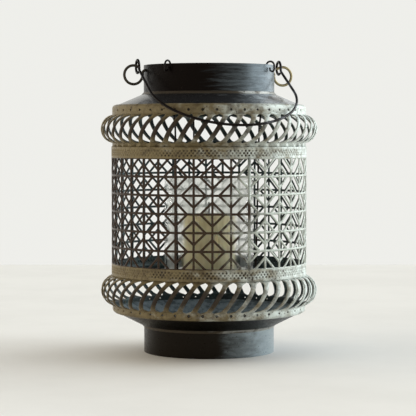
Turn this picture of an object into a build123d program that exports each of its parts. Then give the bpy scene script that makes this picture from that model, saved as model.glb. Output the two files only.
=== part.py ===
"""Punched tin lantern: a pierced sheet body on a foot ring, a wire bail, and a candle glass hung from the rim.

Millimetres. Z runs up the lantern's axis, the foot stands on Z = 0 and the ears lie along X.
Azimuths are in degrees, 0 facing -Y and 90 facing +X.
"""

import os
from math import atan2, cos, degrees, pi, radians, sin, sqrt, tan

from build123d import *

os.makedirs("parts", exist_ok=True)

# Sheet, solder and running clearances
sheet = 0.6
ring_sheet = 0.8
solder_film = 0.05
bail_rest_gap = 0.7
tray_gap = 0.5
wire_gap = 0.25

# Body sleeve with its pierced lattice
body_radius = 73.0
sleeve_bottom = 57.8
sleeve_top = 153.6
lattice_bottom = 66.2
lattice_top = 145.7
lattice_bars = 34
lattice_rows = 6
lattice_bar = 1.8
diamond_share = 0.645
seam_azimuth = 6.6
seam_width = 2.4

# Louvred bands above and below the sleeve
bulge_radius = 81.0
louvre_count = 45
louvre_lean = 13.7
louvre_end_width = 6.1
louvre_mid_width = 7.4
band_overlap = 4.6
vent_radius = 0.8
lower_bulge_top = 57.4
lower_bulge_bottom = 35.4
lower_curl_radius = 2.6
lower_curl_angle = 80
lower_vent_height = 33.6
upper_bulge_top = 177.2
upper_bulge_bottom = 156.2
upper_curl_radius = 2.6
upper_curl_lap = 1.2
upper_vent_height = 180.2

# Foot, base pan, shoulder and collar
collar_radius = 48.8
foot_height = 19.6
cone_angle = 23
pan_angle = 27
pan_rim_reach = 0.7
collar_bottom = 192.8
collar_top = 214.0
neck_lap = 4.0
bead_height = 1.2
bead_reach = 1.7

# Wire ears through the collar
ear_wire = 2.0
ear_ring_radius = 6.9
ear_bend_radius = 2.5
ear_hole_height = 210.0
ear_shank_lift = 3.5
ear_ring_turn = 320
ear_tail = 5.0

# Bail
bail_wire = 1.9
bail_half_width = 55.0
bail_rest_lift = 2.44
bail_edge_clear = 7.0
bail_eye_radius = 4.8
bail_neck_radius = 3.0
bail_eye_turn = 305

# Hanging cradle for the candle glass
hanger_wire = 1.4
left_hanger_azimuth = -53
right_hanger_azimuth = 47
hook_arch_radius = 3.2
hook_curl_radius = 1.7
hook_drop = 5.9
hook_tail = 2.4
hook_tip = 1.2
hanger_bend_height = 168.0
hanger_bend_inset = 5.7
hanger_wire_bend = 1.2
hanger_toe = 14.0
tray_radius = 37.4
tray_floor = 55.2
tray_lip = 4.0

# Candle glass and candle
glass_radius = 33.4
glass_height = 74.3
glass_wall = 2.6
glass_base = 5.0
glass_corner = 3.0
candle_radius = 19.0
candle_height = 42.0
candle_edge = 1.6
melt_pool_radius = 12.0
melt_pool_depth = 1.4
wick_radius = 0.8
wick_proud = 9.0
tab_radius = 9.0
tab_thickness = 0.4
ferrule_radius = 2.0
ferrule_height = 4.0

# Sizes that follow from the ones above
band_radius = body_radius - sheet - solder_film
collar_bore = collar_radius - ring_sheet
upper_curl_angle = 90 - cone_angle
cone_slope = tan(radians(cone_angle))
pan_slope = tan(radians(pan_angle))
pan_thickness = ring_sheet / cos(radians(pan_angle))
cone_thickness = ring_sheet / cos(radians(cone_angle))
hook_arch_height = collar_top - 1.1
hook_inner = collar_bore - hanger_wire / 2 - wire_gap
hook_outer = hook_inner + 2 * hook_arch_radius
hanger_foot_radius = tray_radius + hanger_wire / 2 + tray_gap
hanger_foot_height = tray_floor - hanger_wire / 2 - solder_film
ear_neck = sqrt((ear_ring_radius + ear_bend_radius) ** 2 - (ear_shank_lift - ear_bend_radius) ** 2)
ear_ring_centre = collar_radius + ear_neck
ear_ring_height = ear_hole_height - ear_shank_lift
bail_pivot_height = ear_ring_height + sqrt(ear_ring_radius**2 - (ear_ring_centre - bail_half_width) ** 2)
bail_rest_height = (upper_bulge_top + upper_bulge_bottom) / 2 + bail_rest_lift
bail_rest_radius = max(bulge_radius + bail_wire / 2, body_radius + bail_edge_clear) + bail_rest_gap
bail_reach = sqrt(bail_rest_radius**2 + (bail_pivot_height - bail_rest_height) ** 2)
bail_leg = bail_reach - bail_half_width
bail_tilt = atan2(bail_rest_radius, bail_pivot_height - bail_rest_height)
bail_neck = sqrt(bail_eye_radius**2 + 2 * bail_eye_radius * bail_neck_radius)
glass_floor = tray_floor + sheet
candle_floor = glass_floor + glass_base
candle_top = candle_floor + candle_height


def facing_plane(azimuth, radius):
    """Upright plane that touches the given radius and faces outwards, with its own y along Z."""
    a = radians(azimuth)
    outward = (sin(a), -cos(a), 0)
    return Plane(origin=(radius * sin(a), -radius * cos(a), 0), x_dir=(cos(a), sin(a), 0), z_dir=outward)


def radial_plane(azimuth):
    """Upright plane through the axis, with x running outwards and y along Z."""
    a = radians(azimuth)
    return Plane(origin=(0, 0, 0), x_dir=(sin(a), -cos(a), 0), z_dir=(-cos(a), -sin(a), 0))


def lattice_column(diamond_line):
    """Openings between two upright bars; the left bar carries diamonds on every second line from diamond_line."""
    wide = 2 * body_radius * sin(pi / lattice_bars)
    tall = (lattice_top - lattice_bottom) / lattice_rows
    b = lattice_bar / 2
    across = diamond_share * wide
    up = diamond_share * tall
    half_band = b * sqrt(1 / across**2 + 1 / up**2)
    near_x = across * (1 - half_band - b / up)
    near_y = up * (1 - half_band - b / across)
    far_x = across * (1 + half_band - b / up)
    far_y = up * (1 + half_band - b / across)
    corner = [(b, b), (near_x, b), (b, near_y)]
    opposite = [(wide - x, tall - y) for x, y in corner]
    channel = [(far_x, b), (wide - b, b), (wide - b, tall - far_y)]
    channel += [(wide - x, tall - y) for x, y in channel]
    with BuildSketch() as column:
        for row in range(lattice_rows):
            for shape in (corner, opposite, channel):
                if row % 2 == diamond_line:
                    points = [(x - wide / 2, y) for x, y in shape]
                else:
                    points = [(wide / 2 - x, y) for x, y in shape]
                points = [(x, y + lattice_bottom + row * tall) for x, y in points]
                Polygon(*points, align=None)
    return column.sketch


def louvre_slot(bottom, top):
    """One leaning opening between two louvre strips, widest at the crown of the bulge."""
    lean = louvre_lean / 2
    end = louvre_end_width / 2
    mid = louvre_mid_width / 2
    middle = (bottom + top) / 2
    points = [(-lean - end, bottom), (-lean + end, bottom), (mid, middle)]
    points += [(lean + end, top), (lean - end, top), (-mid, middle)]
    with BuildSketch() as slot:
        Polygon(*points, align=None)
    return slot.sketch


def bulge_points(outer, bottom, top, crown):
    """Start, crown and end of the bulge's arc where it meets a straight wall of the given outer radius."""
    half = (top - bottom) / 2
    rise = bulge_radius - band_radius
    arc = (half**2 + rise**2) / (2 * rise)
    centre = bulge_radius - arc
    reach = sqrt((crown - centre) ** 2 - (outer - centre) ** 2)
    middle = (top + bottom) / 2
    return (outer, middle + reach), (crown, middle), (outer, middle - reach)


def hook_path():
    """Centre line of one hanger wire: curled tip, arch over the rim, drop down the inside and toe under the tray."""
    curl_height = hook_arch_height - hook_tail
    curl_inner = hook_outer - 2 * hook_curl_radius
    with BuildLine() as path:
        Line((curl_inner, curl_height + hook_tip), (curl_inner, curl_height))
        CenterArc((curl_inner + hook_curl_radius, curl_height), hook_curl_radius, 180, 180)
        Line((hook_outer, curl_height), (hook_outer, hook_arch_height))
        CenterArc((hook_inner + hook_arch_radius, hook_arch_height), hook_arch_radius, 0, 180)
        FilletPolyline(
            (hook_inner, hook_arch_height),
            (hook_inner, hook_arch_height - hook_drop),
            (hook_inner - hanger_bend_inset, hanger_bend_height),
            (hanger_foot_radius, hanger_foot_height),
            (hanger_foot_radius - hanger_toe, hanger_foot_height),
            radius=hanger_wire_bend,
        )
    return path.wire()


def ear_path():
    """Centre line of one ear: tail clinched inside the collar, shank through the hole, ring outside."""
    tail = collar_bore - ear_wire / 2 - wire_gap
    aim = degrees(atan2(ear_shank_lift - ear_bend_radius, ear_neck))
    with BuildLine() as path:
        FilletPolyline(
            (tail, ear_hole_height - ear_tail),
            (tail, ear_hole_height),
            (collar_radius, ear_hole_height),
            radius=1.3,
        )
        CenterArc((collar_radius, ear_hole_height - ear_bend_radius), ear_bend_radius, 90, -90 - aim)
        CenterArc((ear_ring_centre, ear_ring_height), ear_ring_radius, 180 - aim, ear_ring_turn)
    return path.wire()


def bail_eye_path():
    """Centre line of one bail eye about its pivot, entered from the leg along x."""
    aim = degrees(atan2(bail_neck_radius, bail_neck))
    with BuildLine() as path:
        CenterArc((bail_neck, -bail_neck_radius), bail_neck_radius, 90, 90 - aim)
        CenterArc((0, 0), bail_eye_radius, -aim, -bail_eye_turn)
    return path.wire()


column_step = 360 / lattice_bars
odd_columns = [
    facing_plane(seam_azimuth + (2 * i + 0.5) * column_step, body_radius - 3) for i in range(lattice_bars // 2)
]
even_columns = [
    facing_plane(seam_azimuth + (2 * i + 1.5) * column_step, body_radius - 3) for i in range(lattice_bars // 2)
]
louvre_step = 360 / louvre_count
louvre_planes = [facing_plane(i * louvre_step, body_radius - 6) for i in range(louvre_count)]
vent_planes = [facing_plane((i + 0.5) * louvre_step, body_radius - 6) for i in range(louvre_count)]

# Foot: a strip rolled into a ring, open below
with BuildPart() as foot_ring:
    with BuildSketch():
        Circle(collar_radius)
        Circle(collar_bore, mode=Mode.SUBTRACT)
    extrude(amount=foot_height)
foot_ring.part.label = "foot_ring"
export_step(foot_ring.part, "parts/foot_ring.step")

# Base pan: flat floor, conical flank and a rim that the lower band is curled under
pan_rim = band_radius - lower_curl_radius + lower_curl_radius * cos(radians(lower_curl_angle)) + pan_rim_reach
pan_rim_height = foot_height + (pan_rim - collar_radius) * pan_slope
with BuildPart() as base_pan:
    with BuildSketch(Plane.XZ):
        with BuildLine():
            Polyline(
                (0, foot_height),
                (collar_radius, foot_height),
                (pan_rim, pan_rim_height),
                (pan_rim, pan_rim_height + pan_thickness),
                (collar_radius - 0.2, foot_height + ring_sheet),
                (0, foot_height + ring_sheet),
                close=True,
            )
        make_face()
    revolve(axis=Axis.Z)
base_pan.part.label = "base_pan"
export_step(base_pan.part, "parts/base_pan.step")

# Solder bead in the corner between the foot and the pan
with BuildPart() as foot_solder:
    with BuildSketch(Plane.XZ):
        with BuildLine():
            Polyline(
                (collar_radius, foot_height - bead_height),
                (collar_radius + bead_reach, foot_height + bead_reach * pan_slope - solder_film),
                (collar_radius, foot_height - solder_film),
                close=True,
            )
        make_face()
    revolve(axis=Axis.Z)
foot_solder.part.label = "foot_solder"
export_step(foot_solder.part, "parts/foot_solder.step")

# Lower louvred band: margin behind the sleeve, bulge of leaning strips, vents, edge curled in under the pan
lower_end_radius = band_radius - lower_curl_radius + (lower_curl_radius - sheet) * cos(radians(lower_curl_angle))
lower_curl_height = (
    foot_height
    + (lower_end_radius - collar_radius) * pan_slope
    - solder_film
    + (lower_curl_radius - sheet) * sin(radians(lower_curl_angle))
)
with BuildPart() as lower_louvre_band:
    lower_top = sleeve_bottom + band_overlap
    outer_start, outer_crown, outer_end = bulge_points(
        band_radius, lower_bulge_bottom, lower_bulge_top, bulge_radius
    )
    inner_start, inner_crown, inner_end = bulge_points(
        band_radius - sheet, lower_bulge_bottom, lower_bulge_top, bulge_radius - sheet
    )
    with BuildSketch(Plane.XZ):
        with BuildLine():
            Line((band_radius, lower_top), outer_start)
            ThreePointArc(outer_start, outer_crown, outer_end)
            Line(outer_end, (band_radius, lower_curl_height))
            outer_curl = CenterArc(
                (band_radius - lower_curl_radius, lower_curl_height), lower_curl_radius, 0, -lower_curl_angle
            )
            inner_curl = CenterArc(
                (band_radius - lower_curl_radius, lower_curl_height),
                lower_curl_radius - sheet,
                0,
                -lower_curl_angle,
            )
            Line(outer_curl @ 1, inner_curl @ 1)
            Line((band_radius - sheet, lower_curl_height), inner_end)
            ThreePointArc(inner_end, inner_crown, inner_start)
            Line(inner_start, (band_radius - sheet, lower_top))
            Line((band_radius - sheet, lower_top), (band_radius, lower_top))
        make_face()
    revolve(axis=Axis.Z)
    with BuildSketch(*louvre_planes):
        add(louvre_slot(lower_bulge_bottom, lower_bulge_top))
    extrude(amount=bulge_radius - body_radius + 8, mode=Mode.SUBTRACT)
    with BuildSketch(*vent_planes):
        with Locations((0, lower_vent_height)):
            Circle(vent_radius)
    extrude(amount=8, mode=Mode.SUBTRACT)
lower_louvre_band.part.label = "lower_louvre_band"
export_step(lower_louvre_band.part, "parts/lower_louvre_band.step")

# Fretwork sleeve: rolled sheet with a lap seam, pierced to a lattice with diamonds on every second crossing
with BuildPart() as fretwork_sleeve:
    with BuildSketch(Plane.XY.offset(sleeve_bottom)):
        Circle(body_radius)
        Circle(body_radius - sheet, mode=Mode.SUBTRACT)
    extrude(amount=sleeve_top - sleeve_bottom)
    with BuildSketch(facing_plane(seam_azimuth, body_radius - sheet / 2)):
        with Locations((0, (lattice_bottom + lattice_top) / 2)):
            Rectangle(seam_width, lattice_top - lattice_bottom)
    extrude(amount=sheet)
    with BuildSketch(*odd_columns):
        add(lattice_column(1))
    with BuildSketch(*even_columns):
        add(lattice_column(0))
    extrude(amount=6, mode=Mode.SUBTRACT)
fretwork_sleeve.part.label = "fretwork_sleeve"
export_step(fretwork_sleeve.part, "parts/fretwork_sleeve.step")

# Upper louvred band: margin behind the sleeve, bulge of leaning strips, vents, edge curled in over the shoulder
upper_end_radius = band_radius - upper_curl_radius + (upper_curl_radius - sheet) * cos(radians(upper_curl_angle))
upper_curl_height = (
    collar_bottom
    - (upper_end_radius - collar_radius) * cone_slope
    + solder_film
    - (upper_curl_radius - sheet) * sin(radians(upper_curl_angle))
)
lap = Vector(-upper_curl_lap * cos(radians(cone_angle)), upper_curl_lap * sin(radians(cone_angle)))
with BuildPart() as upper_louvre_band:
    upper_bottom = sleeve_top - band_overlap
    outer_end, outer_crown, outer_start = bulge_points(
        band_radius, upper_bulge_bottom, upper_bulge_top, bulge_radius
    )
    inner_end, inner_crown, inner_start = bulge_points(
        band_radius - sheet, upper_bulge_bottom, upper_bulge_top, bulge_radius - sheet
    )
    with BuildSketch(Plane.XZ):
        with BuildLine():
            Line((band_radius, upper_bottom), outer_start)
            ThreePointArc(outer_start, outer_crown, outer_end)
            Line(outer_end, (band_radius, upper_curl_height))
            outer_curl = CenterArc(
                (band_radius - upper_curl_radius, upper_curl_height), upper_curl_radius, 0, upper_curl_angle
            )
            inner_curl = CenterArc(
                (band_radius - upper_curl_radius, upper_curl_height),
                upper_curl_radius - sheet,
                0,
                upper_curl_angle,
            )
            Polyline(outer_curl @ 1, outer_curl @ 1 + lap, inner_curl @ 1 + lap, inner_curl @ 1)
            Line((band_radius - sheet, upper_curl_height), inner_end)
            ThreePointArc(inner_end, inner_crown, inner_start)
            Line(inner_start, (band_radius - sheet, upper_bottom))
            Line((band_radius - sheet, upper_bottom), (band_radius, upper_bottom))
        make_face()
    revolve(axis=Axis.Z)
    with BuildSketch(*louvre_planes):
        add(louvre_slot(upper_bulge_bottom, upper_bulge_top))
    extrude(amount=bulge_radius - body_radius + 8, mode=Mode.SUBTRACT)
    with BuildSketch(*vent_planes):
        with Locations((0, upper_vent_height)):
            Circle(vent_radius)
    extrude(amount=8, mode=Mode.SUBTRACT)
upper_louvre_band.part.label = "upper_louvre_band"
export_step(upper_louvre_band.part, "parts/upper_louvre_band.step")

# Shoulder cone: flank tucked under the upper band's curl, short neck inside the collar
shoulder_edge = upper_end_radius
neck_radius = collar_bore - solder_film
neck_height = collar_bottom + (collar_radius - neck_radius) * cone_slope
with BuildPart() as shoulder_cone:
    with BuildSketch(Plane.XZ):
        with BuildLine():
            Polyline(
                (neck_radius, neck_height),
                (shoulder_edge, collar_bottom - (shoulder_edge - collar_radius) * cone_slope),
                (shoulder_edge, collar_bottom - (shoulder_edge - collar_radius) * cone_slope - cone_thickness),
                (neck_radius - ring_sheet, neck_height + ring_sheet * cone_slope - cone_thickness),
                (neck_radius - ring_sheet, neck_height + neck_lap),
                (neck_radius, neck_height + neck_lap),
                close=True,
            )
        make_face()
    revolve(axis=Axis.Z)
shoulder_cone.part.label = "shoulder_cone"
export_step(shoulder_cone.part, "parts/shoulder_cone.step")

# Collar: a strip rolled into a ring over the shoulder's neck, pierced for the ears
with BuildPart() as neck_collar:
    with BuildSketch(Plane.XY.offset(neck_height + solder_film)):
        Circle(collar_radius)
        Circle(collar_bore, mode=Mode.SUBTRACT)
    extrude(amount=collar_top - neck_height - solder_film)
    with BuildSketch(facing_plane(-90, collar_bore - 2), facing_plane(90, collar_bore - 2)):
        with Locations((0, ear_hole_height)):
            Circle(ear_wire / 2 + wire_gap)
    extrude(amount=6, mode=Mode.SUBTRACT)
neck_collar.part.label = "neck_collar"
export_step(neck_collar.part, "parts/neck_collar.step")

# Solder bead in the corner between the collar and the shoulder
with BuildPart() as neck_solder:
    with BuildSketch(Plane.XZ):
        with BuildLine():
            Polyline(
                (collar_radius + solder_film, collar_bottom + solder_film),
                (collar_radius + bead_reach, collar_bottom - bead_reach * cone_slope + solder_film),
                (collar_radius + solder_film, collar_bottom + bead_height),
                close=True,
            )
        make_face()
    revolve(axis=Axis.Z)
neck_solder.part.label = "neck_solder"
export_step(neck_solder.part, "parts/neck_solder.step")

# Ears: wire rings whose shanks pass through the collar
with BuildPart() as left_ear:
    left_ear_line = radial_plane(-90).location * ear_path()
    with BuildSketch(Plane(origin=left_ear_line @ 0, z_dir=left_ear_line % 0)):
        Circle(ear_wire / 2)
    sweep(path=left_ear_line)
left_ear.part.label = "left_ear"
export_step(left_ear.part, "parts/left_ear.step")

with BuildPart() as right_ear:
    right_ear_line = radial_plane(90).location * ear_path()
    with BuildSketch(Plane(origin=right_ear_line @ 0, z_dir=right_ear_line % 0)):
        Circle(ear_wire / 2)
    sweep(path=right_ear_line)
right_ear.part.label = "right_ear"
export_step(right_ear.part, "parts/right_ear.step")

# Bail: stirrup of wire with an eye about each ear, resting forwards on the upper bulge
leg_direction = (0, -sin(bail_tilt), -cos(bail_tilt))
hoop_plane = Plane(
    origin=(0, 0, bail_pivot_height), x_dir=(1, 0, 0), z_dir=(0, cos(bail_tilt), -sin(bail_tilt))
)
with BuildPart() as bail:
    with BuildLine(hoop_plane) as hoop_line:
        Line((-bail_half_width, bail_neck), (-bail_half_width, bail_leg))
        CenterArc((0, bail_leg), bail_half_width, 180, -180)
        Line((bail_half_width, bail_leg), (bail_half_width, bail_neck))
    with BuildSketch(Plane(origin=hoop_line.wire() @ 0, z_dir=hoop_line.wire() % 0)):
        Circle(bail_wire / 2)
    sweep(path=hoop_line.wire())
    for side in (-1, 1):
        eye_plane = Plane(
            origin=(side * bail_half_width, 0, bail_pivot_height), x_dir=leg_direction, z_dir=(1, 0, 0)
        )
        eye_line = eye_plane.location * bail_eye_path()
        with BuildSketch(Plane(origin=eye_line @ 0, z_dir=eye_line % 0)):
            Circle(bail_wire / 2)
        sweep(path=eye_line)
bail.part.label = "bail"
export_step(bail.part, "parts/bail.step")

# Hanger wires: three hooks over the rim that carry the tray
with BuildPart() as hanger_left:
    hanger_left_line = radial_plane(left_hanger_azimuth).location * hook_path()
    with BuildSketch(Plane(origin=hanger_left_line @ 0, z_dir=hanger_left_line % 0)):
        Circle(hanger_wire / 2)
    sweep(path=hanger_left_line)
hanger_left.part.label = "hanger_left"
export_step(hanger_left.part, "parts/hanger_left.step")

with BuildPart() as hanger_right:
    hanger_right_line = radial_plane(right_hanger_azimuth).location * hook_path()
    with BuildSketch(Plane(origin=hanger_right_line @ 0, z_dir=hanger_right_line % 0)):
        Circle(hanger_wire / 2)
    sweep(path=hanger_right_line)
hanger_right.part.label = "hanger_right"
export_step(hanger_right.part, "parts/hanger_right.step")

with BuildPart() as hanger_back:
    hanger_back_line = radial_plane(180).location * hook_path()
    with BuildSketch(Plane(origin=hanger_back_line @ 0, z_dir=hanger_back_line % 0)):
        Circle(hanger_wire / 2)
    sweep(path=hanger_back_line)
hanger_back.part.label = "hanger_back"
export_step(hanger_back.part, "parts/hanger_back.step")

# Tray: shallow saucer that the glass stands in
with BuildPart() as candle_tray:
    with BuildSketch(Plane.XY.offset(tray_floor)):
        Circle(tray_radius)
    extrude(amount=tray_lip)
    with BuildSketch(Plane.XY.offset(tray_floor + sheet)):
        Circle(tray_radius - sheet)
    extrude(amount=tray_lip, mode=Mode.SUBTRACT)
candle_tray.part.label = "candle_tray"
export_step(candle_tray.part, "parts/candle_tray.step")

# Candle glass: straight tumbler with a thick base
with BuildPart() as glass_cup:
    with BuildSketch(Plane.XY.offset(glass_floor)):
        Circle(glass_radius)
    extrude(amount=glass_height)
    with BuildSketch(Plane.XY.offset(candle_floor)):
        Circle(glass_radius - glass_wall)
    extrude(amount=glass_height, mode=Mode.SUBTRACT)
    fillet(glass_cup.edges().sort_by(Axis.Z)[0], glass_corner)
    fillet(glass_cup.edges().group_by(Axis.Z)[-1], glass_wall * 0.4)
glass_cup.part.label = "glass_cup"
export_step(glass_cup.part, "parts/glass_cup.step")

# Wick tab: pressed disc and ferrule under the candle
with BuildPart() as wick_tab:
    with BuildSketch(Plane.XY.offset(candle_floor)):
        Circle(tab_radius)
    extrude(amount=tab_thickness)
    with BuildSketch(Plane.XY.offset(candle_floor)):
        Circle(ferrule_radius)
    extrude(amount=ferrule_height)
    with BuildSketch(Plane.XY.offset(candle_floor + tab_thickness)):
        Circle(wick_radius + solder_film)
    extrude(amount=ferrule_height, mode=Mode.SUBTRACT)
wick_tab.part.label = "wick_tab"
export_step(wick_tab.part, "parts/wick_tab.step")

# Wick: cotton cord held in the ferrule, standing above the wax
with BuildPart() as wick:
    with BuildSketch(Plane.XY.offset(candle_floor + tab_thickness)):
        Circle(wick_radius)
    extrude(amount=candle_height - tab_thickness + wick_proud)
wick.part.label = "wick"
export_step(wick.part, "parts/wick.step")

# Candle: short wax pillar with a shallow melt pool, moulded around the wick and its tab
with BuildPart() as candle_wax:
    with BuildSketch(Plane.XZ):
        with BuildLine():
            Polyline(
                (tab_radius + solder_film, candle_floor),
                (candle_radius, candle_floor),
                (candle_radius, candle_top - candle_edge),
            )
            RadiusArc((candle_radius, candle_top - candle_edge), (candle_radius - candle_edge, candle_top), -candle_edge)
            Line((candle_radius - candle_edge, candle_top), (melt_pool_radius, candle_top))
            ThreePointArc(
                (melt_pool_radius, candle_top),
                (melt_pool_radius * 0.55, candle_top - melt_pool_depth * 0.7),
                (wick_radius + solder_film, candle_top - melt_pool_depth),
            )
            Polyline(
                (wick_radius + solder_film, candle_top - melt_pool_depth),
                (wick_radius + solder_film, candle_floor + ferrule_height + solder_film),
                (ferrule_radius + solder_film, candle_floor + ferrule_height + solder_film),
                (ferrule_radius + solder_film, candle_floor + tab_thickness + solder_film),
                (tab_radius + solder_film, candle_floor + tab_thickness + solder_film),
                (tab_radius + solder_film, candle_floor),
            )
        make_face()
    revolve(axis=Axis.Z)
candle_wax.part.label = "candle_wax"
export_step(candle_wax.part, "parts/candle_wax.step")
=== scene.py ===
import math

import bmesh
import bpy
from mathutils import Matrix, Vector


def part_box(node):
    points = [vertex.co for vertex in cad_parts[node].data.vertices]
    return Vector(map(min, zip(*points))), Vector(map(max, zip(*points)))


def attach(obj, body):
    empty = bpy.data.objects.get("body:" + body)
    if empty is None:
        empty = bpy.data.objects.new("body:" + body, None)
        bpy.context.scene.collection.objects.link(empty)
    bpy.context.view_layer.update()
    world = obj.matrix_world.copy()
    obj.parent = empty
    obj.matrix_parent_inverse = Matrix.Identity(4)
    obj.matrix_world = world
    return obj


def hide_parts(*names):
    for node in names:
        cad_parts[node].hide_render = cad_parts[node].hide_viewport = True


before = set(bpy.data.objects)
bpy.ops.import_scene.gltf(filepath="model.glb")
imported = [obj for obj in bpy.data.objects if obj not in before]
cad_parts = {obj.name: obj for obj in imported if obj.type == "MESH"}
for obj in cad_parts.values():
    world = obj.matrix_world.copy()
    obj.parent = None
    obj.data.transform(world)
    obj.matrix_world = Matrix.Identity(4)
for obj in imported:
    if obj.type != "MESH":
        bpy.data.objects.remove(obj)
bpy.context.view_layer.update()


# Foot: a strip of tin plate rolled into a ring and soldered under the pan, open below.
# Brown-black lacquer over the tin, rubbed grey in patches, with a grey painted sheen gathered
# on the side toward the light, and flecked where it has lifted.

FOOT_LACQUER = (0.012, 0.009, 0.006)
FOOT_RUBBED_AND_SHEEN = (0.31, 0.365, 0.39)
FOOT_FLECKS = (0.20, 0.18, 0.13)
LIGHT_SIDE = (0.93, -0.36, 0.0)
WALL_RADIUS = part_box("fretwork_sleeve")[1].x
CLOUD_LOW = 0.3
CLOUD_HIGH = 0.7
FLECK_EDGE = 0.10
SPECKS_DRAWN = 0.4
MID_GREY = (0.5, 0.5, 0.5)


def node_of(tree, kind, **settings):
    """One shader node, with its named inputs set."""
    node = tree.nodes.new(kind)
    for name, value in settings.items():
        node.inputs[name].default_value = value
    return node


def cloud_over(tree, scale, detail, rough, swirl=0.0, drawn=1.0):
    """Noise over the lantern in its own coordinates, in metres; drawn squeezes it into level streaks."""
    place = tree.nodes.new("ShaderNodeTexCoord")
    squeeze = node_of(tree, "ShaderNodeMapping", Scale=(1.0, 1.0, drawn))
    cloud = node_of(tree, "ShaderNodeTexNoise", Scale=scale, Detail=detail, Roughness=rough, Distortion=swirl)
    tree.links.new(place.outputs["Object"], squeeze.inputs["Vector"])
    tree.links.new(squeeze.outputs["Vector"], cloud.inputs["Vector"])
    return cloud.outputs["Fac"]


def toward(tree, direction, share):
    """How far a point lies toward a side: share at the sleeve's wall there, nothing on the lantern's axis."""
    place = tree.nodes.new("ShaderNodeTexCoord")
    along = tree.nodes.new("ShaderNodeVectorMath")
    along.operation = "DOT_PRODUCT"
    along.inputs[1].default_value = [part * share / WALL_RADIUS for part in direction]
    tree.links.new(place.outputs["Object"], along.inputs[0])
    return along.outputs["Value"]


def summed(tree, first, second):
    """Two masks added."""
    total = tree.nodes.new("ShaderNodeMath")
    tree.links.new(first, total.inputs[0])
    tree.links.new(second, total.inputs[1])
    return total.outputs["Value"]


def banded(tree, source, low, high, to_low=0.0, to_high=1.0):
    """The source spread from low..high to to_low..to_high, clamped."""
    spread = tree.nodes.new("ShaderNodeMapRange")
    spread.interpolation_type = "SMOOTHSTEP"
    for name, value in (("From Min", low), ("From Max", high), ("To Min", to_low), ("To Max", to_high)):
        spread.inputs[name].default_value = value
    tree.links.new(source, spread.inputs["Value"])
    return spread.outputs["Result"]


def laid_over(tree, mask, under, over):
    """Colour over laid on colour under where the mask is high; each is a colour or a node's output."""
    mix = tree.nodes.new("ShaderNodeMix")
    mix.data_type = "RGBA"
    tree.links.new(mask, mix.inputs["Factor"])
    for socket, colour in ((mix.inputs[6], under), (mix.inputs[7], over)):
        if isinstance(colour, tuple):
            socket.default_value = (*colour, 1.0)
        else:
            tree.links.new(colour, socket)
    return mix.outputs[2]


def aged_tin(
    name,
    ground,
    rubbed,
    flecks,
    rubbed_from,
    flecks_from,
    metal,
    matt,
    pitting,
    fade=0.20,
    gloss=0.5,
    uneven=0.10,
    drawn=1.0,
    painted_light_side=0.0,
):
    """Old tin plate: a ground colour, cloudy rubbed patches, small flecks and a pitted skin.

    Patches begin at rubbed_from and are full after fade, flecks begin at flecks_from, pitting is in metres.
    The roughness matt strays by uneven, drawn makes level streaks, and painted_light_side pushes the patches
    toward the light side as painted sheen and highlight.
    """
    finish = bpy.data.materials.new(name)
    finish.use_nodes = True
    tree = finish.node_tree
    shader = tree.nodes["Principled BSDF"]
    patches = cloud_over(tree, scale=70, detail=6, rough=0.62, swirl=0.4, drawn=drawn)
    # Painted light: this pushes the rubbed colour toward the light side, as a painted sheen and highlight.
    if painted_light_side:
        patches = summed(tree, patches, toward(tree, LIGHT_SIDE, painted_light_side))
    specks = cloud_over(tree, scale=520, detail=5, rough=0.62, drawn=1 + (drawn - 1) * SPECKS_DRAWN)
    grit = cloud_over(tree, scale=2100, detail=2, rough=0.5)
    colour = laid_over(tree, banded(tree, patches, rubbed_from, rubbed_from + fade), ground, rubbed)
    colour = laid_over(tree, banded(tree, specks, flecks_from, flecks_from + FLECK_EDGE), colour, flecks)
    tree.links.new(colour, shader.inputs["Base Color"])
    roughness = banded(tree, specks, CLOUD_LOW, CLOUD_HIGH, matt - uneven, matt + uneven)
    tree.links.new(roughness, shader.inputs["Roughness"])
    shader.inputs["Metallic"].default_value = metal
    shader.inputs["Specular IOR Level"].default_value = gloss
    skin = node_of(tree, "ShaderNodeBump", Strength=0.5, Distance=pitting)
    tree.links.new(laid_over(tree, grit, specks, MID_GREY), skin.inputs["Height"])
    tree.links.new(skin.outputs["Normal"], shader.inputs["Normal"])
    return finish


def wear(node, finish):
    """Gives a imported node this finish."""
    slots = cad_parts[node].data.materials
    for index in range(len(slots)):
        slots[index] = finish


lacquered_tin = aged_tin(
    "lacquered tin",
    ground=FOOT_LACQUER,
    rubbed=FOOT_RUBBED_AND_SHEEN,
    flecks=FOOT_FLECKS,
    rubbed_from=0.70,
    flecks_from=0.68,
    metal=0.55,
    matt=0.36,
    pitting=0.0001,
    fade=1.2,
    gloss=0.12,
    drawn=2.5,
    painted_light_side=1.9,
)
wear("foot_ring", lacquered_tin)


# Solder: a bead run round the corner between foot and pan, and another round the collar's base.
# Soft grey solder, left lumpy by the iron and dulled with age, with a painted highlight on the side toward
# the light.

SOLDER_GREY = (0.090, 0.072, 0.050)
SOLDER_BRIGHT = (0.42, 0.42, 0.39)
SOLDER_SOOT = (0.06, 0.05, 0.04)

dull_solder = aged_tin(
    "dull solder",
    ground=SOLDER_GREY,
    rubbed=SOLDER_BRIGHT,
    flecks=SOLDER_SOOT,
    rubbed_from=0.52,
    flecks_from=0.57,
    metal=0.6,
    matt=0.42,
    pitting=0.0004,
    drawn=2.0,
    painted_light_side=0.30,
)
wear("foot_solder", dull_solder)
wear("neck_solder", dull_solder)


# Base pan: a dished tin disc soldered on the foot, its rim caught in the lower band's curl.
# Same lacquer as the foot, with a painted sheen on the side toward the light; its inside, seen through the
# louvres, has a blue-grey painted sheen on all that faces up.

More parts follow.
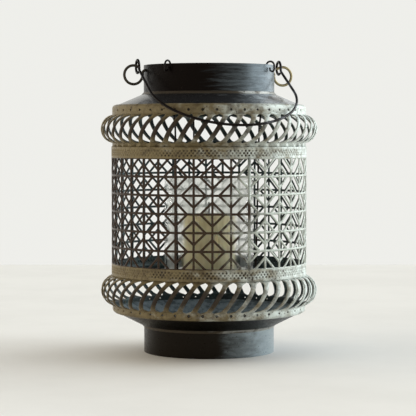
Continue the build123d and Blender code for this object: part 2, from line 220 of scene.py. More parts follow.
PAN_LACQUER = (0.008, 0.007, 0.005)
PAN_RUBBED_AND_SHEEN = (0.075, 0.072, 0.060)
PAN_SOOT = (0.008, 0.007, 0.006)
PAN_INSIDE_SHEEN = (0.28, 0.35, 0.39)
PAN_DUSTY_SHEEN = (0.12, 0.15, 0.165)


def coat(finish, mask, colour):
    """Lays one more colour over a finish where the mask is high."""
    tree = finish.node_tree
    base = tree.nodes["Principled BSDF"].inputs["Base Color"]
    under = base.links[0].from_socket
    tree.links.new(laid_over(tree, mask, under, colour), base)


def painted_sheen_facing_up(finish):
    """Paints a dusty blue-grey sheen on all of the pan that faces up: a painted reflection."""
    tree = finish.node_tree
    place = tree.nodes.new("ShaderNodeTexCoord")
    facing = tree.nodes.new("ShaderNodeSeparateXYZ")
    tree.links.new(place.outputs["Normal"], facing.inputs["Vector"])
    dusty = banded(tree, cloud_over(tree, scale=160, detail=4, rough=0.6), low=0.40, high=0.66)
    facing_up = banded(tree, facing.outputs["Z"], low=0.05, high=0.25)
    coat(finish, facing_up, laid_over(tree, dusty, PAN_INSIDE_SHEEN, PAN_DUSTY_SHEEN))


sooted_tin_and_sheen = aged_tin(
    "sooted tin and sheen",
    ground=PAN_LACQUER,
    rubbed=PAN_RUBBED_AND_SHEEN,
    flecks=PAN_SOOT,
    rubbed_from=0.58,
    flecks_from=0.60,
    metal=0.6,
    matt=0.36,
    pitting=0.0002,
    fade=0.40,
    gloss=0.12,
    drawn=6.0,
    painted_light_side=0.24,
)
painted_sheen_facing_up(sooted_tin_and_sheen)
wear("base_pan", sooted_tin_and_sheen)


# Lower louvred band: a strip of sheet pressed to a round bulge and slit into leaning louvres, lengths in mm.
# It tucks behind the sleeve above, has a row of punched vents below the bulge and curls in under the pan.
# Mint-grey paint worn down to olive brown, paler toward the light as painted light and darker toward the
# front as painted shade; the inside is darkened by soot and painted shade.

MM_IN_METRE = 1000
WELD = 0.000012
SHEET = 0.6
BAND_RADIUS = 72.35
BULGE_RADIUS = 81.0
LOWER_BULGE_BOTTOM = 35.4
LOWER_BULGE_TOP = 57.4
LOWER_VENT_HEIGHT = 33.6
LOUVRES = 45
LOUVRE_STEP = 360 / LOUVRES
LOUVRE_LEAN = 13.7
LOUVRE_CROWN = 0.55
LOUVRE_ROWS = 30
ROWS_CROWDED = 0.35
PANES_ACROSS = 4
SLIT_END_WIDTH = 6.1
SLIT_MID_WIDTH = 7.4
SLIT_ROUNDING = 2.0
VENT_HOLE = 0.35
VENT_LIP = 1.25
VENT_RAISE = 0.05
VENT_SINK = 0.45
VENT_MARGIN = 1.5
VENT_DIRT_AND_SHADE = 2.0
VENT_CORNERS = ((-1, 0), (-1, 1), (-1, 2), (0, 2), (1, 2), (1, 1), (1, 0), (0, 0))
CURL_RADIUS = 2.6
LOWER_CURL_HEIGHT = 32.37
LOWER_CURL_TURNS = (6, 22, 40, 60, 80)
PAINT_OLIVE = (0.185, 0.146, 0.076)
PAINT_MINT = (0.69, 0.745, 0.70)
PAINT_BARE_AND_SHADE = (0.040, 0.026, 0.017)
PIT_DIRT_AND_SHADE = (0.030, 0.021, 0.013)
HANDLED_AND_SHADED_SIDE = (-0.25, -0.97, 0.0)
WIPED_AND_SHADED_SIDE = (-0.69, -0.72, 0.0)
BULGE_DARK_START = 75.5
BULGE_DARK_FULL = 80.8
RUBBED_AND_SHADED_BROWN = (0.026, 0.017, 0.012)
INSIDE_SOOT_AND_SHADE = (0.019, 0.032, 0.032)
INSIDE_SHEEN = (0.048, 0.082, 0.080)
INSIDE_FLECKS = (0.13, 0.13, 0.11)


def span(node):
    """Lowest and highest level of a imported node, in mm."""
    low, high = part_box(node)
    return round(low.z * MM_IN_METRE, 3), round(high.z * MM_IN_METRE, 3)


def on_wall(radius, azimuth, height):
    """A point in metres from lengths in mm; azimuth in degrees, 0 facing -Y and 90 facing +X."""
    a = math.radians(azimuth)
    return (
        radius * math.sin(a) / MM_IN_METRE,
        -radius * math.cos(a) / MM_IN_METRE,
        height / MM_IN_METRE,
    )


def sheet_piece(name, node, points, faces, finish, thickness=SHEET, inner_faces=(), pits=None):
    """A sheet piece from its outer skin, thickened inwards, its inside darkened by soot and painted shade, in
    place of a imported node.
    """
    mesh = bpy.data.meshes.new(name)
    mesh.from_pydata(points, [], faces)
    for index in inner_faces:
        mesh.polygons[index].material_index = 1
    if pits is not None:
        mesh.attributes.new("pit", "FLOAT", "POINT").data.foreach_set("value", pits)
    work = bmesh.new()
    work.from_mesh(mesh)
    bmesh.ops.remove_doubles(work, verts=work.verts, dist=WELD)
    bmesh.ops.recalc_face_normals(work, faces=work.faces)
    for face in work.faces:
        face.smooth = True
    work.to_mesh(mesh)
    work.free()
    mesh.materials.append(finish)
    mesh.materials.append(sooted_and_shaded_inside)
    piece = bpy.data.objects.new(name, mesh)
    bpy.context.scene.collection.objects.link(piece)
    if thickness:
        thick = piece.modifiers.new("sheet", "SOLIDIFY")
        thick.thickness = thickness / MM_IN_METRE
        thick.offset = -1
        thick.material_offset = 1
    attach(piece, "lantern")
    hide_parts(node)
    return piece


def lay_pane(points, faces, corners):
    """Adds a pane to a skin by its corners; what it shares with its neighbours is welded later."""
    faces.append(tuple(range(len(points), len(points) + len(corners))))
    points.extend(corners)


def wall_pane(points, faces, near, far, start, end):
    """A pane between two rows of (radius, turn, height), from start to end in degrees round the wall."""
    corners = []
    for (radius, turn, height), azimuth in ((near, start), (near, end), (far, end), (far, start)):
        corners.append(on_wall(radius, azimuth + turn, height))
    lay_pane(points, faces, corners)


def plain_ring(points, faces, rows):
    """Plain sheet all round, through rows of (radius, turn, height)."""
    pane = LOUVRE_STEP / PANES_ACROSS
    for n in range(LOUVRES * PANES_ACROSS):
        for near, far in zip(rows[:-1], rows[1:]):
            wall_pane(points, faces, near, far, n * pane, (n + 1) * pane)


def louvre_rows(bulge_low, bulge_high):
    """Rows up one louvre: radius, turn, height, half the slit beside it in degrees, and its crown."""
    middle = (bulge_low + bulge_high) / 2
    half = (bulge_high - bulge_low) / 2
    rise = BULGE_RADIUS - BAND_RADIUS
    arc = (half**2 + rise**2) / (2 * rise)
    reach = math.asin(half / arc)
    rows = []
    for i in range(LOUVRE_ROWS + 1):
        even = 2 * i / LOUVRE_ROWS - 1
        crowded = -math.cos(math.pi * i / LOUVRE_ROWS)
        place = ROWS_CROWDED * crowded + (1 - ROWS_CROWDED) * even
        fullness = math.cos(place * math.pi / 2)
        radius = BULGE_RADIUS - arc + arc * math.cos(reach * place)
        height = middle + arc * math.sin(reach * place)
        turn = math.degrees(math.atan(LOUVRE_LEAN / 2 * (height - middle) / half / radius))
        slit = SLIT_END_WIDTH + (SLIT_MID_WIDTH - SLIT_END_WIDTH) * fullness
        to_end = min(height - bulge_low, bulge_high - height)
        if to_end < SLIT_ROUNDING:
            slit *= math.sqrt(max(0.0, 1 - (1 - to_end / SLIT_ROUNDING) ** 2))
        beside = math.degrees(math.asin(slit / 2 / radius))
        rows.append((radius, turn, height, beside, LOUVRE_CROWN * fullness))
    return rows


def louvre_panes(points, faces, rows):
    """The crowned strips between the slits, all round the bulge."""
    for k in range(LOUVRES):
        for near, far in zip(rows[:-1], rows[1:]):
            for j in range(PANES_ACROSS):
                corners = []
                for row, column in ((near, j), (near, j + 1), (far, j + 1), (far, j)):
                    radius, turn, height, beside, crown = row
                    drop = crown * (2 * column / PANES_ACROSS - 1) ** 2
                    aside = beside + (LOUVRE_STEP - 2 * beside) * column / PANES_ACROSS
                    corners.append(on_wall(radius - drop, k * LOUVRE_STEP + turn + aside, height))
                lay_pane(points, faces, corners)


def vent_spot(middle, height, size, around, raised):
    """A point at this size from the middle of a vent, raised from the wall or sunk in it."""
    aside = math.degrees(size * math.cos(around) / BAND_RADIUS)
    return on_wall(BAND_RADIUS + raised, middle + aside, height + size * math.sin(around))


def vent_row(points, faces, wall, away):
    """Vents punched all round in three rows of wall, away from the louvres; returns the sunk points."""
    sunk = set()
    turn, height = wall[1][1:]
    pane = LOUVRE_STEP / PANES_ACROSS
    for k in range(LOUVRES):
        start = k * LOUVRE_STEP
        for column in (1, 2):
            for near, far in zip(wall[:-1], wall[1:]):
                wall_pane(points, faces, near, far, start + column * pane, start + (column + 1) * pane)
        outer, lip, pit = [], [], []
        for side, row in VENT_CORNERS:
            around = math.atan2(away * (row - 1), side)
            outer.append(on_wall(wall[row][0], start + turn + side * pane, wall[row][2]))
            lip.append(vent_spot(start + turn, height, VENT_LIP, around, VENT_RAISE))
            pit.append(vent_spot(start + turn, height, VENT_HOLE, around, -VENT_SINK))
        for n in range(len(VENT_CORNERS)):
            following = (n + 1) % len(VENT_CORNERS)
            lay_pane(points, faces, (outer[n], outer[following], lip[following], lip[n]))
            lay_pane(points, faces, (lip[n], lip[following], pit[following], pit[n]))
            sunk.update((len(points) - 2, len(points) - 1))
    return sunk


def louvred_band(bulge_low, bulge_high, sleeve_edge, vent_height, curl):
    """Outer skin of one band and its pits; curl lists (radius, height) from beyond the vents inwards."""
    points, faces = [], []
    to_sleeve = 1 if sleeve_edge > bulge_high else -1
    sleeve_end = bulge_high if to_sleeve == 1 else bulge_low
    vent_end = bulge_low if to_sleeve == 1 else bulge_high
    lean = to_sleeve * math.degrees(math.atan(LOUVRE_LEAN / 2 / BAND_RADIUS))
    vent_turn = -to_sleeve * LOUVRE_STEP / 2
    vent_edge = (BAND_RADIUS, vent_turn, vent_height + to_sleeve * VENT_MARGIN)
    vent_middle = (BAND_RADIUS, vent_turn, vent_height)
    curl_rows = [(radius, vent_turn, height) for radius, height in curl]
    louvre_panes(points, faces, louvre_rows(bulge_low, bulge_high))
    plain_ring(points, faces, [(BAND_RADIUS, lean, sleeve_end), (BAND_RADIUS, lean, sleeve_edge)])
    plain_ring(points, faces, [(BAND_RADIUS, -lean, vent_end), vent_edge])
    sunk = vent_row(points, faces, [vent_edge, vent_middle, curl_rows[0]], -to_sleeve)
    plain_ring(points, faces, curl_rows)
    pits = [VENT_DIRT_AND_SHADE * (n in sunk) for n in range(len(points))]
    return points, faces, pits


def curled_edge(height, side, turns):
    """Rows of (radius, height) round a band's curl, turning up where side is 1 and down where it is -1."""
    rows = []
    for turned in turns:
        a = math.radians(turned)
        radius = BAND_RADIUS - CURL_RADIUS + CURL_RADIUS * math.cos(a)
        rows.append((radius, height + side * CURL_RADIUS * math.sin(a)))
    return rows


def both(tree, first, second):
    """Two masks multiplied."""
    product = tree.nodes.new("ShaderNodeMath")
    product.operation = "MULTIPLY"
    tree.links.new(first, product.inputs[0])
    tree.links.new(second, product.inputs[1])
    return product.outputs["Value"]


def worn_through_and_shaded(finish, bare_and_shade):
    """Lays worn metal over a finish in patches a few millimetres wide, gathered toward the front as painted
    shade.
    """
    tree = finish.node_tree
    cloud = cloud_over(tree, scale=190, detail=4, rough=0.6, swirl=0.5)
    handled_and_shaded = summed(tree, cloud, toward(tree, HANDLED_AND_SHADED_SIDE, share=0.13))
    coat(finish, banded(tree, handled_and_shaded, low=0.52, high=0.86, to_high=0.62), bare_and_shade)


def rubbed_and_shaded_bulge(finish, bare_and_shade):
    """Darkens a finish to worn brown where the bulge stands out most, in patches and as painted shade on the
    front-left side.
    """
    tree = finish.node_tree
    place = tree.nodes.new("ShaderNodeTexCoord")
    flat = node_of(tree, "ShaderNodeMapping", Scale=(1.0, 1.0, 0.0))
    radius = tree.nodes.new("ShaderNodeVectorMath")
    radius.operation = "LENGTH"
    tree.links.new(place.outputs["Object"], flat.inputs["Vector"])
    tree.links.new(flat.outputs["Vector"], radius.inputs[0])
    standing = banded(tree, radius.outputs["Value"], BULGE_DARK_START / MM_IN_METRE, BULGE_DARK_FULL / MM_IN_METRE)
    cloud = cloud_over(tree, scale=75, detail=4, rough=0.6)
    wiped_and_shaded = summed(tree, cloud, toward(tree, WIPED_AND_SHADED_SIDE, share=0.9))
    wiped_and_shaded = banded(tree, wiped_and_shaded, low=0.95, high=1.45, to_low=0.10, to_high=0.95)
    coat(finish, both(tree, standing, wiped_and_shaded), bare_and_shade)


def dirt_and_shade_in_pits(finish, pit_colour):
    """Darkens the punched pits of a finish with grime and painted shade: dimples most toward the front, vents
    all round.
    """
    tree = finish.node_tree
    pit = tree.nodes.new("ShaderNodeAttribute")
    pit.attribute_name = "pit"
    deep = banded(tree, pit.outputs["Fac"], low=0.12, high=0.60)
    cloud = cloud_over(tree, scale=110, detail=3, rough=0.6)
    handled_and_shaded = summed(tree, cloud, toward(tree, HANDLED_AND_SHADED_SIDE, share=0.9))
    in_vents = banded(tree, pit.outputs["Fac"], low=1.1, high=1.5)
    grime_and_shade = banded(tree, summed(tree, handled_and_shaded, in_vents), low=1.15, high=1.45, to_low=0.10)
    coat(finish, both(tree, deep, grime_and_shade), pit_colour)


# Paler mint toward the light side is painted light; the darkening toward the front is painted shade.
painted_tin = aged_tin(
    "painted tin",
    ground=PAINT_OLIVE,
    rubbed=PAINT_MINT,
    flecks=PAINT_BARE_AND_SHADE,
    rubbed_from=0.44,
    flecks_from=0.585,
    metal=0.20,
    matt=0.40,
    pitting=0.0004,
    fade=0.42,
    gloss=0.2,
    drawn=1.5,
    painted_light_side=0.30,
)
worn_through_and_shaded(painted_tin, PAINT_BARE_AND_SHADE)
rubbed_and_shaded_bulge(painted_tin, RUBBED_AND_SHADED_BROWN)
dirt_and_shade_in_pits(painted_tin, PIT_DIRT_AND_SHADE)
# Inside faces: soot and painted shade.
sooted_and_shaded_inside = aged_tin(
    "sooted and shaded inside",
    ground=INSIDE_SOOT_AND_SHADE,
    rubbed=INSIDE_SHEEN,
    flecks=INSIDE_FLECKS,
    rubbed_from=0.50,
    flecks_from=0.64,
    metal=0.45,
    matt=0.36,
    pitting=0.0003,
)
skin, panes, pits = louvred_band(
    LOWER_BULGE_BOTTOM,
    LOWER_BULGE_TOP,
    sleeve_edge=span("lower_louvre_band")[1],
    vent_height=LOWER_VENT_HEIGHT,
    curl=curled_edge(LOWER_CURL_HEIGHT, -1, LOWER_CURL_TURNS),
)
sheet_piece("lower_louvres", "lower_louvre_band", skin, panes, painted_tin, pits=pits)


# Fretwork sleeve: one sheet pierced to a lattice with diamonds on every second crossing, rolled and lapped.
# The bars are rounded by the piercing; the plain margins carry three staggered rows of punched dimples.
# Same mint paint as the louvres, with the bars rubbed down to brown and painted mint toward the light as a
# painted highlight.

SLEEVE_RADIUS = round(WALL_RADIUS * MM_IN_METRE, 3)
SLEEVE_BOTTOM, SLEEVE_TOP = span("fretwork_sleeve")
LATTICE_BOTTOM = 66.2
LATTICE_TOP = 145.7
LATTICE_BARS = 34
LATTICE_STEP = 360 / LATTICE_BARS
LATTICE_ROWS = 6
LATTICE_BAR = 1.7
CELL_WIDTH = 2 * SLEEVE_RADIUS * math.sin(math.pi / LATTICE_BARS)
CELL_HEIGHT = (LATTICE_TOP - LATTICE_BOTTOM) / LATTICE_ROWS
DIAMOND_SHARE = 0.645
BAR_SECTION = ((0.0, 0.0), (0.5, 0.08), (0.88, 0.30), (1.0, 0.52), (1.0, 0.84), (0.0, 0.90))
BAR_LENGTHS = 3
MARGIN_LAP = 0.3
DIMPLES_ROUND = 164
DIMPLE_RADIUS = 0.95
DIMPLE_DEPTH = 0.55
DIMPLE_GRID = 6
MARGIN_ROW = 0.9
LOWER_DIMPLE_ROWS = (60.6, 62.4, 64.2)
UPPER_DIMPLE_ROWS = (147.6, 149.3, 151.0)
SEAM_AZIMUTH = 6.6
SEAM_WIDTH = 2.4
SEAM_RAISE = 0.3
SEAM_ROUNDING = 0.35
SEAM_STRIPS = 6
SEAM_LAP = 0.5
BAR_BROWN = (0.040, 0.025, 0.016)
BAR_MINT = (0.46, 0.49, 0.44)
BAR_DARK = (0.016, 0.010, 0.007)


def opposite(shape):
    """The same shape in the far corner of a lattice cell."""
    return [(CELL_WIDTH - x, CELL_HEIGHT - y) for x, y in shape]


def cell_openings():
    """Openings of one cell, each as its outline along the bars' middles and its hole between the bars."""
    half_bar = LATTICE_BAR / 2
    across = DIAMOND_SHARE * CELL_WIDTH
    up = DIAMOND_SHARE * CELL_HEIGHT
    slanting = half_bar * math.sqrt(1 / across**2 + 1 / up**2)
    near_x = across * (1 - slanting - half_bar / up)
    near_y = up * (1 - slanting - half_bar / across)
    far_x = across * (1 + slanting - half_bar / up)
    far_y = up * (1 + slanting - half_bar / across)
    corner = [(0, 0), (across, 0), (0, up)]
    corner_hole = [(half_bar, half_bar), (near_x, half_bar), (half_bar, near_y)]
    side = [(across, 0), (CELL_WIDTH, 0), (CELL_WIDTH, CELL_HEIGHT - up)]
    side_x = CELL_WIDTH - half_bar
    side_hole = [(far_x, half_bar), (side_x, half_bar), (side_x, CELL_HEIGHT - far_y)]
    return (
        (corner, corner_hole),
        (opposite(corner), opposite(corner_hole)),
        (side + opposite(side), side_hole + opposite(side_hole)),
    )


def between(start, end, share):
    """The point at this share of the way from start to end."""
    return start[0] + (end[0] - start[0]) * share, start[1] + (end[1] - start[1]) * share


def bar_side(points, faces, inside, column, row, line, edge):
    """One side of a bar in a cell, from its middle line to its edge, rounded over and closed behind."""
    mirrored = (column + row) % 2 == 0
    slopes = list(zip(BAR_SECTION[:-1], BAR_SECTION[1:]))
    foot_line = row == 0 and line[0][1] == line[1][1] == 0
    head_line = row == LATTICE_ROWS - 1 and line[0][1] == line[1][1] == CELL_HEIGHT
    if foot_line or head_line:
        slopes.append((BAR_SECTION[-1], BAR_SECTION[0]))
    for part in range(BAR_LENGTHS):
        start = part / BAR_LENGTHS
        end = (part + 1) / BAR_LENGTHS
        for upper, lower in slopes:
            corners = []
            for along, (inward, sink) in ((start, upper), (end, upper), (end, lower), (start, lower)):
                x, y = between(between(*line, along), between(*edge, along), inward)
                turned = 1 - x / CELL_WIDTH if mirrored else x / CELL_WIDTH
                azimuth = SEAM_AZIMUTH + (column + turned) * LATTICE_STEP
                height = LATTICE_BOTTOM + row * CELL_HEIGHT + y
                corners.append(on_wall(SLEEVE_RADIUS - sink, azimuth, height))
            if lower == BAR_SECTION[-1]:
                inside.append(len(faces))
            lay_pane(points, faces, corners[::-1] if mirrored else corners)


def lattice_skin():
    """Closed rounded bars of the whole lattice, cell by cell, and which of their faces look inwards."""
    points, faces, inside = [], [], []
    openings = cell_openings()
    for column in range(LATTICE_BARS):
        for row in range(LATTICE_ROWS):
            for outline, hole in openings:
                for n in range(len(outline)):
                    following = (n + 1) % len(outline)
                    line = (outline[n], outline[following])
                    edge = (hole[n], hole[following])
                    bar_side(points, faces, inside, column, row, line, edge)
    return points, faces, inside


def dimple_depth(azimuth, height, dimple_rows):
    """How deep the punch has dented a margin here; every second row stands half a pitch aside."""
    pitch = 360 / DIMPLES_ROUND
    depth = 0.0
    for n, row_height in enumerate(dimple_rows):
        aside = (azimuth - n % 2 * pitch / 2 + pitch / 2) % pitch - pitch / 2
        away = math.hypot(math.radians(aside) * SLEEVE_RADIUS, height - row_height)
        depth = max(depth, DIMPLE_DEPTH * (1 - (away / DIMPLE_RADIUS) ** 2))
    return depth


def dimpled_margin(bottom, top, dimple_rows):
    """Plain margin of the sleeve as a fine grid, dented at each dimple, and its pits."""
    points, faces, pits = [], [], []
    columns = DIMPLES_ROUND * DIMPLE_GRID
    rows = 2 * int((top - bottom) / MARGIN_ROW)
    for row in range(rows + 1):
        height = bottom + (top - bottom) * row / rows
        for column in range(columns):
            azimuth = 360 * column / columns
            depth = dimple_depth(azimuth, height, dimple_rows)
            points.append(on_wall(SLEEVE_RADIUS - depth, azimuth, height))
            pits.append(depth / DIMPLE_DEPTH)
    for row in range(rows):
        here = row * columns
        above = here + columns
        for column in range(columns):
            following = (column + 1) % columns
            faces.append((here + column, here + following, above + following, above + column))
    return points, faces, pits


def lap_skin():
    """The lapped edge of the sheet: an upright strip with its long edges rounded down to the lattice."""
    points, faces = [], []
    for n in range(SEAM_STRIPS + 1):
        aside = n / SEAM_STRIPS - 0.5
        radius = SLEEVE_RADIUS + SEAM_RAISE - SEAM_ROUNDING * (2 * aside) ** 4
        azimuth = SEAM_AZIMUTH + math.degrees(SEAM_WIDTH * aside / SLEEVE_RADIUS)
        points.append(on_wall(radius, azimuth, LATTICE_BOTTOM - SEAM_LAP))
        points.append(on_wall(radius, azimuth, LATTICE_TOP + SEAM_LAP))
    for n in range(SEAM_STRIPS):
        faces.append((2 * n, 2 * n + 2, 2 * n + 3, 2 * n + 1))
    return points, faces


rubbed_and_lit_fretwork = aged_tin(
    "rubbed and lit fretwork",
    ground=BAR_BROWN,
    rubbed=BAR_MINT,
    flecks=BAR_DARK,
    rubbed_from=0.75,
    flecks_from=0.58,
    metal=0.35,
    matt=0.34,
    pitting=0.0003,
    fade=0.28,
    gloss=0.25,
    painted_light_side=0.90,
)
skin, panes, inside = lattice_skin()
sheet_piece("lattice", "fretwork_sleeve", skin, panes, rubbed_and_lit_fretwork, thickness=0, inner_faces=inside)
for name, bottom, top, dimple_rows in (
    ("lower_dimpled_margin", SLEEVE_BOTTOM, LATTICE_BOTTOM + MARGIN_LAP, LOWER_DIMPLE_ROWS),
    ("upper_dimpled_margin", LATTICE_TOP - MARGIN_LAP, SLEEVE_TOP, UPPER_DIMPLE_ROWS),
):
    skin, panes, pits = dimpled_margin(bottom, top, dimple_rows)
    sheet_piece(name, "fretwork_sleeve", skin, panes, painted_tin, pits=pits)
skin, panes = lap_skin()
sheet_piece("lap_seam", "fretwork_sleeve", skin, panes, rubbed_and_lit_fretwork)


# Upper louvred band: twin of the lower one, of the same painted sheet, lengths in mm.
# It tucks behind the sleeve below, its vents stand above the bulge,
# and its edge is curled in and laid down over the shoulder.

UPPER_BULGE_BOTTOM = 156.2
UPPER_BULGE_TOP = 177.2
UPPER_VENT_HEIGHT = 180.2
UPPER_CURL_START = 181.7
UPPER_CURL_HEIGHT = 181.785
UPPER_CURL_TURNS = (15, 35, 52, 67)
UPPER_LIP_REACH = 1.1
UPPER_LIP_RISE = 0.47

upper_curl = [(BAND_RADIUS, UPPER_CURL_START)]
upper_curl += curled_edge(UPPER_CURL_HEIGHT, 1, UPPER_CURL_TURNS)
upper_curl.append((upper_curl[-1][0] - UPPER_LIP_REACH, upper_curl[-1][1] + UPPER_LIP_RISE))
skin, panes, pits = louvred_band(
    UPPER_BULGE_BOTTOM,
    UPPER_BULGE_TOP,
    sleeve_edge=span("upper_louvre_band")[0],
    vent_height=UPPER_VENT_HEIGHT,
    curl=upper_curl,
)
sheet_piece("upper_louvres", "upper_louvre_band", skin, panes, painted_tin, pits=pits)


# Shoulder: a plain tin cone, its wide edge caught under the upper band's curl
# and its neck soldered to the collar.
# Lacquered like the foot, but glossier, with a dusty blue-grey bloom gathered on the side toward the light as
# a painted sheen, and lifted flecks.

SHOULDER_LACQUER = (0.020, 0.020, 0.022)
SHOULDER_BLOOM_AND_SHEEN = (0.40, 0.44, 0.47)
SHOULDER_FLECKS = (0.22, 0.21, 0.18)

bloomed_and_sheened_tin = aged_tin(
    "bloomed and sheened tin",
    ground=SHOULDER_LACQUER,
    rubbed=SHOULDER_BLOOM_AND_SHEEN,
    flecks=SHOULDER_FLECKS,
    rubbed_from=0.58,
    flecks_from=0.70,
    metal=0.2,
    matt=0.20,
    pitting=0.00001,
    fade=0.40,
    gloss=1.0,
    uneven=0.012,
    drawn=3.0,
    painted_light_side=0.46,
)
wear("shoulder_cone", bloomed_and_sheened_tin)


# Collar: a strip of tin rolled into a short chimney and soldered over the cone's neck, its rim left raw.
# Brown-black lacquer brushed on round the strip, so what is rubbed shows as level streaks, gathered toward
# the light as a blue-grey painted sheen.

COLLAR_LACQUER = (0.006, 0.004, 0.003)
COLLAR_RUBBED_AND_SHEEN = (0.20, 0.24, 0.265)
COLLAR_FLECKS = (0.17, 0.14, 0.10)

brushed_lacquer = aged_tin(
    "brushed lacquer",
    ground=COLLAR_LACQUER,
    rubbed=COLLAR_RUBBED_AND_SHEEN,
    flecks=COLLAR_FLECKS,
    rubbed_from=0.50,
    flecks_from=0.68,
    metal=0.55,
    matt=0.34,
    pitting=0.0001,
    fade=1.3,
    gloss=0.06,
    drawn=10.0,
    painted_light_side=1.3,
)
wear("neck_collar", brushed_lacquer)


# Ears: stout wires pushed through the collar, clinched inside and bent into rings for the bail.
# Browned iron, rubbed to an old brass colour, gathered on the side toward the light as a painted highlight.

EAR_BROWN = (0.045, 0.036, 0.023)
EAR_RUBBED_AND_HIGHLIGHT = (0.34, 0.28, 0.15)
EAR_RUST = (0.05, 0.024, 0.014)

browned_wire = aged_tin(
    "browned wire",
    ground=EAR_BROWN,
    rubbed=EAR_RUBBED_AND_HIGHLIGHT,
    flecks=EAR_RUST,
    rubbed_from=0.50,
    flecks_from=0.60,
    metal=0.6,
    matt=0.38,
    pitting=0.0002,
    painted_light_side=0.30,
)
wear("left_ear", browned_wire)
wear("right_ear", browned_wire)


# Bail: one iron wire bent to a half round with an eye at each end, hung in the ears.
# Blackened, worn to grey in places and paler grey toward the light as a painted highlight, freckled with
# rust; at rest it lies against the front louvres.

BAIL_BLACK = (0.010, 0.007, 0.006)
BAIL_RUBBED_AND_HIGHLIGHT = (0.26, 0.27, 0.30)
BAIL_RUST = (0.075, 0.032, 0.020)

black_iron = aged_tin(
    "black iron",
    ground=BAIL_BLACK,
    rubbed=BAIL_RUBBED_AND_HIGHLIGHT,
    flecks=BAIL_RUST,
    rubbed_from=0.70,
    flecks_from=0.62,
    metal=0.6,
    matt=0.36,
    pitting=0.0002,
    fade=0.3,
    gloss=0.2,
    painted_light_side=0.35,
)
wear("bail", black_iron)


# Cradle: three wires hooked over the collar's rim, running down inside to carry a small tin tray.
# The wires are the same black iron as the bail, and the tray is lacquered like the foot.

for hanger in ("hanger_left", "hanger_right", "hanger_back"):
    wear(hanger, black_iron)
wear("candle_tray", lacquered_tin)


# Candle glass: a clear pressed tumbler that stands loose in the tray.
# Thin glass with a faint green tint, hazed with candle soot and smears.

GLASS_TINT = (0.94, 0.96, 0.89)
GLASS_BENDING = 1.10
HAZE_THIN = 0.16
HAZE_THICK = 0.50
SMEAR_FINE = 0.30
SMEAR_COARSE = 0.55

smeared_glass = bpy.data.materials.new("smeared glass")
smeared_glass.use_nodes = True
tree = smeared_glass.node_tree
shader = tree.nodes["Principled BSDF"]
shader.inputs["Base Color"].default_value = (*GLASS_TINT, 1.0)
shader.inputs["IOR"].default_value = GLASS_BENDING
shader.inputs["Transmission Weight"].default_value = 1.0
smear = cloud_over(tree, scale=90, detail=2, rough=0.5, swirl=0.3, drawn=0.18)
haze = banded(tree, smear, CLOUD_LOW, CLOUD_HIGH, HAZE_THIN, HAZE_THICK)
tree.links.new(haze, shader.inputs["Alpha"])
coarseness = banded(tree, smear, CLOUD_LOW, CLOUD_HIGH, SMEAR_FINE, SMEAR_COARSE)
tree.links.new(coarseness, shader.inputs["Roughness"])
wear("glass_cup", smeared_glass)


# Candle: a cast wax stump with a shallow melt pool, standing loose in the glass.
# Cream wax yellowed with age, a charred cotton wick, and a small tin tab that holds the wick below.

WAX_CREAM = (0.68, 0.60, 0.37)
WAX_YELLOWED = (0.54, 0.46, 0.26)
WAX_DUST = (0.40, 0.36, 0.26)
WAX_GLOW = 0.35
WAX_GLOW_REACH = (1.0, 0.65, 0.3)
WAX_GLOW_DEPTH = 0.004
COTTON_CHARRED = (0.020, 0.017, 0.015)
COTTON_ASH = (0.16, 0.14, 0.12)

old_wax = aged_tin(
    "old wax",
    ground=WAX_CREAM,
    rubbed=WAX_YELLOWED,
    flecks=WAX_DUST,
    rubbed_from=0.45,
    flecks_from=0.62,
    metal=0.0,
    matt=0.5,
    pitting=0.0002,
)
shader = old_wax.node_tree.nodes["Principled BSDF"]
shader.inputs["Subsurface Weight"].default_value = WAX_GLOW
shader.inputs["Subsurface Radius"].default_value = WAX_GLOW_REACH
shader.inputs["Subsurface Scale"].default_value = WAX_GLOW_DEPTH
wear("candle_wax", old_wax)
charred_cotton = aged_tin(
    "charred cotton",
    ground=COTTON_CHARRED,
    rubbed=COTTON_ASH,
    flecks=COTTON_ASH,
    rubbed_from=0.5,
    flecks_from=0.6,
    metal=0.0,
    matt=0.8,
    pitting=0.0003,
)
wear("wick", charred_cotton)
wear("wick_tab", dull_solder)


# Table top: a plain pale board under the lantern, square to the eye, lengths in metres.
# Limed wood with hardly any grain, left matt.

TABLE_PALE = (0.74, 0.72, 0.69)
TABLE_GRAIN = (0.71, 0.69, 0.66)
TABLE_MATT = 0.75
TABLE_NEAR = -2.2
TABLE_FAR = 0.816
TABLE_HALF_WIDTH = 2.4
VIEW_AZIMUTH = math.radians(-16.5)

ahead = Vector((-math.sin(VIEW_AZIMUTH), math.cos(VIEW_AZIMUTH), 0.0))
sideways = Vector((math.cos(VIEW_AZIMUTH), math.sin(VIEW_AZIMUTH), 0.0))
corners = []
for depth, width in (
    (TABLE_NEAR, -TABLE_HALF_WIDTH),
    (TABLE_NEAR, TABLE_HALF_WIDTH),
    (TABLE_FAR, TABLE_HALF_WIDTH),
    (TABLE_FAR, -TABLE_HALF_WIDTH),
):
    corners.append(ahead * depth + sideways * width)
mesh = bpy.data.meshes.new("table top")
mesh.from_pydata(corners, [], [(0, 1, 2, 3)])
table_top = bpy.data.objects.new("table_top", mesh)
bpy.context.scene.collection.objects.link(table_top)
limed_wood = bpy.data.materials.new("limed wood")
limed_wood.use_nodes = True
tree = limed_wood.node_tree
shader = tree.nodes["Principled BSDF"]
grain = banded(tree, cloud_over(tree, scale=9, detail=5, rough=0.6), low=0.35, high=0.65)
tree.links.new(laid_over(tree, grain, TABLE_PALE, TABLE_GRAIN), shader.inputs["Base Color"])
shader.inputs["Roughness"].default_value = TABLE_MATT
mesh.materials.append(limed_wood)


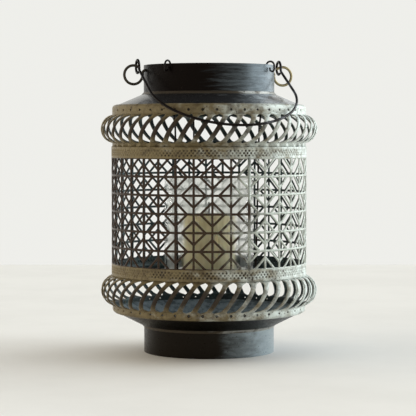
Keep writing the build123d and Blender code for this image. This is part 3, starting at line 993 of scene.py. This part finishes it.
# Room and light: plain white walls, as the eye, the metal and the glass see them.
# The light itself is cool daylight from the right and behind, a warm bright wall on the left
# and a wide soft window on the right.

ROOM_WHITE = (0.86, 0.86, 0.825)
CEILING = (0.09, 0.09, 0.10)
CEILING_FROM = 0.30
CEILING_FULL = 0.75
DIM_SIDE = (0.105, 0.098, 0.081)
DAYLIGHT = (1.20, 1.29, 1.33)
DAYLIGHT_FROM = (0.78, 0.60, 0.18)
WARM_WALL = (2.10, 1.92, 1.60)
WARM_WALL_FROM = (-0.96, 0.28, 0.0)
WINDOW_FROM = (1.28, 0.06, 0.39)
WINDOW_STRENGTH = 2.3
WINDOW_SPREAD = 75


def lit_from(tree, around, direction, low, high):
    """Mask of the room that is high toward a direction."""
    facing = tree.nodes.new("ShaderNodeVectorMath")
    facing.operation = "DOT_PRODUCT"
    facing.inputs[1].default_value = direction
    tree.links.new(around, facing.inputs[0])
    return banded(tree, facing.outputs["Value"], low, high)


room = bpy.data.worlds.new("room")
bpy.context.scene.world = room
room.use_nodes = True
tree = room.node_tree
around = tree.nodes.new("ShaderNodeTexCoord").outputs["Generated"]
day_side = lit_from(tree, around, DAYLIGHT_FROM, low=-0.2, high=0.9)
wall_side = lit_from(tree, around, WARM_WALL_FROM, low=0.15, high=0.9)
light = laid_over(tree, day_side, DIM_SIDE, DAYLIGHT)
light = laid_over(tree, wall_side, light, WARM_WALL)
upward = tree.nodes.new("ShaderNodeSeparateXYZ")
tree.links.new(around, upward.inputs["Vector"])
overhead = banded(tree, upward.outputs["Z"], CEILING_FROM, CEILING_FULL)
walls = laid_over(tree, overhead, ROOM_WHITE, CEILING)
seen = tree.nodes.new("ShaderNodeLightPath")
for ray in ("Is Camera Ray", "Is Glossy Ray", "Is Transmission Ray"):
    light = laid_over(tree, seen.outputs[ray], light, walls)
tree.links.new(light, tree.nodes["Background"].inputs["Color"])

window = bpy.data.lights.new("window right", "SUN")
window.energy = WINDOW_STRENGTH
window.angle = math.radians(WINDOW_SPREAD)
window.color = DAYLIGHT
lamp = bpy.data.objects.new("window right", window)
lamp.rotation_euler = Vector(WINDOW_FROM).to_track_quat("Z", "Y").to_euler()
bpy.context.scene.collection.objects.link(lamp)


# Eye: where the lantern is seen from, lengths in metres and angles in degrees.
# It stands a little to the left of the front and looks slightly down,
# with a long lens set by its focal length in pixels of the square picture.

EYE_DISTANCE = 1.235
EYE_HEIGHT = 0.1625
EYE_TILT = 2.555
SENSOR_WIDTH = 36
PICTURE_PIXELS = 416
FOCAL_PIXELS = 1647
AXIS_PIXELS_ASIDE = 1

eye = bpy.data.cameras.new("eye")
eye.sensor_width = SENSOR_WIDTH
eye.lens = FOCAL_PIXELS / PICTURE_PIXELS * SENSOR_WIDTH
viewer = bpy.data.objects.new("eye", eye)
viewer.location = Vector((0.0, 0.0, EYE_HEIGHT)) - ahead * EYE_DISTANCE
turn = VIEW_AZIMUTH + math.atan(AXIS_PIXELS_ASIDE / FOCAL_PIXELS)
viewer.rotation_euler = (math.radians(90 - EYE_TILT), 0, turn)
bpy.context.scene.collection.objects.link(viewer)
bpy.context.scene.camera = viewer
bpy.context.scene.view_settings.view_transform = "Standard"
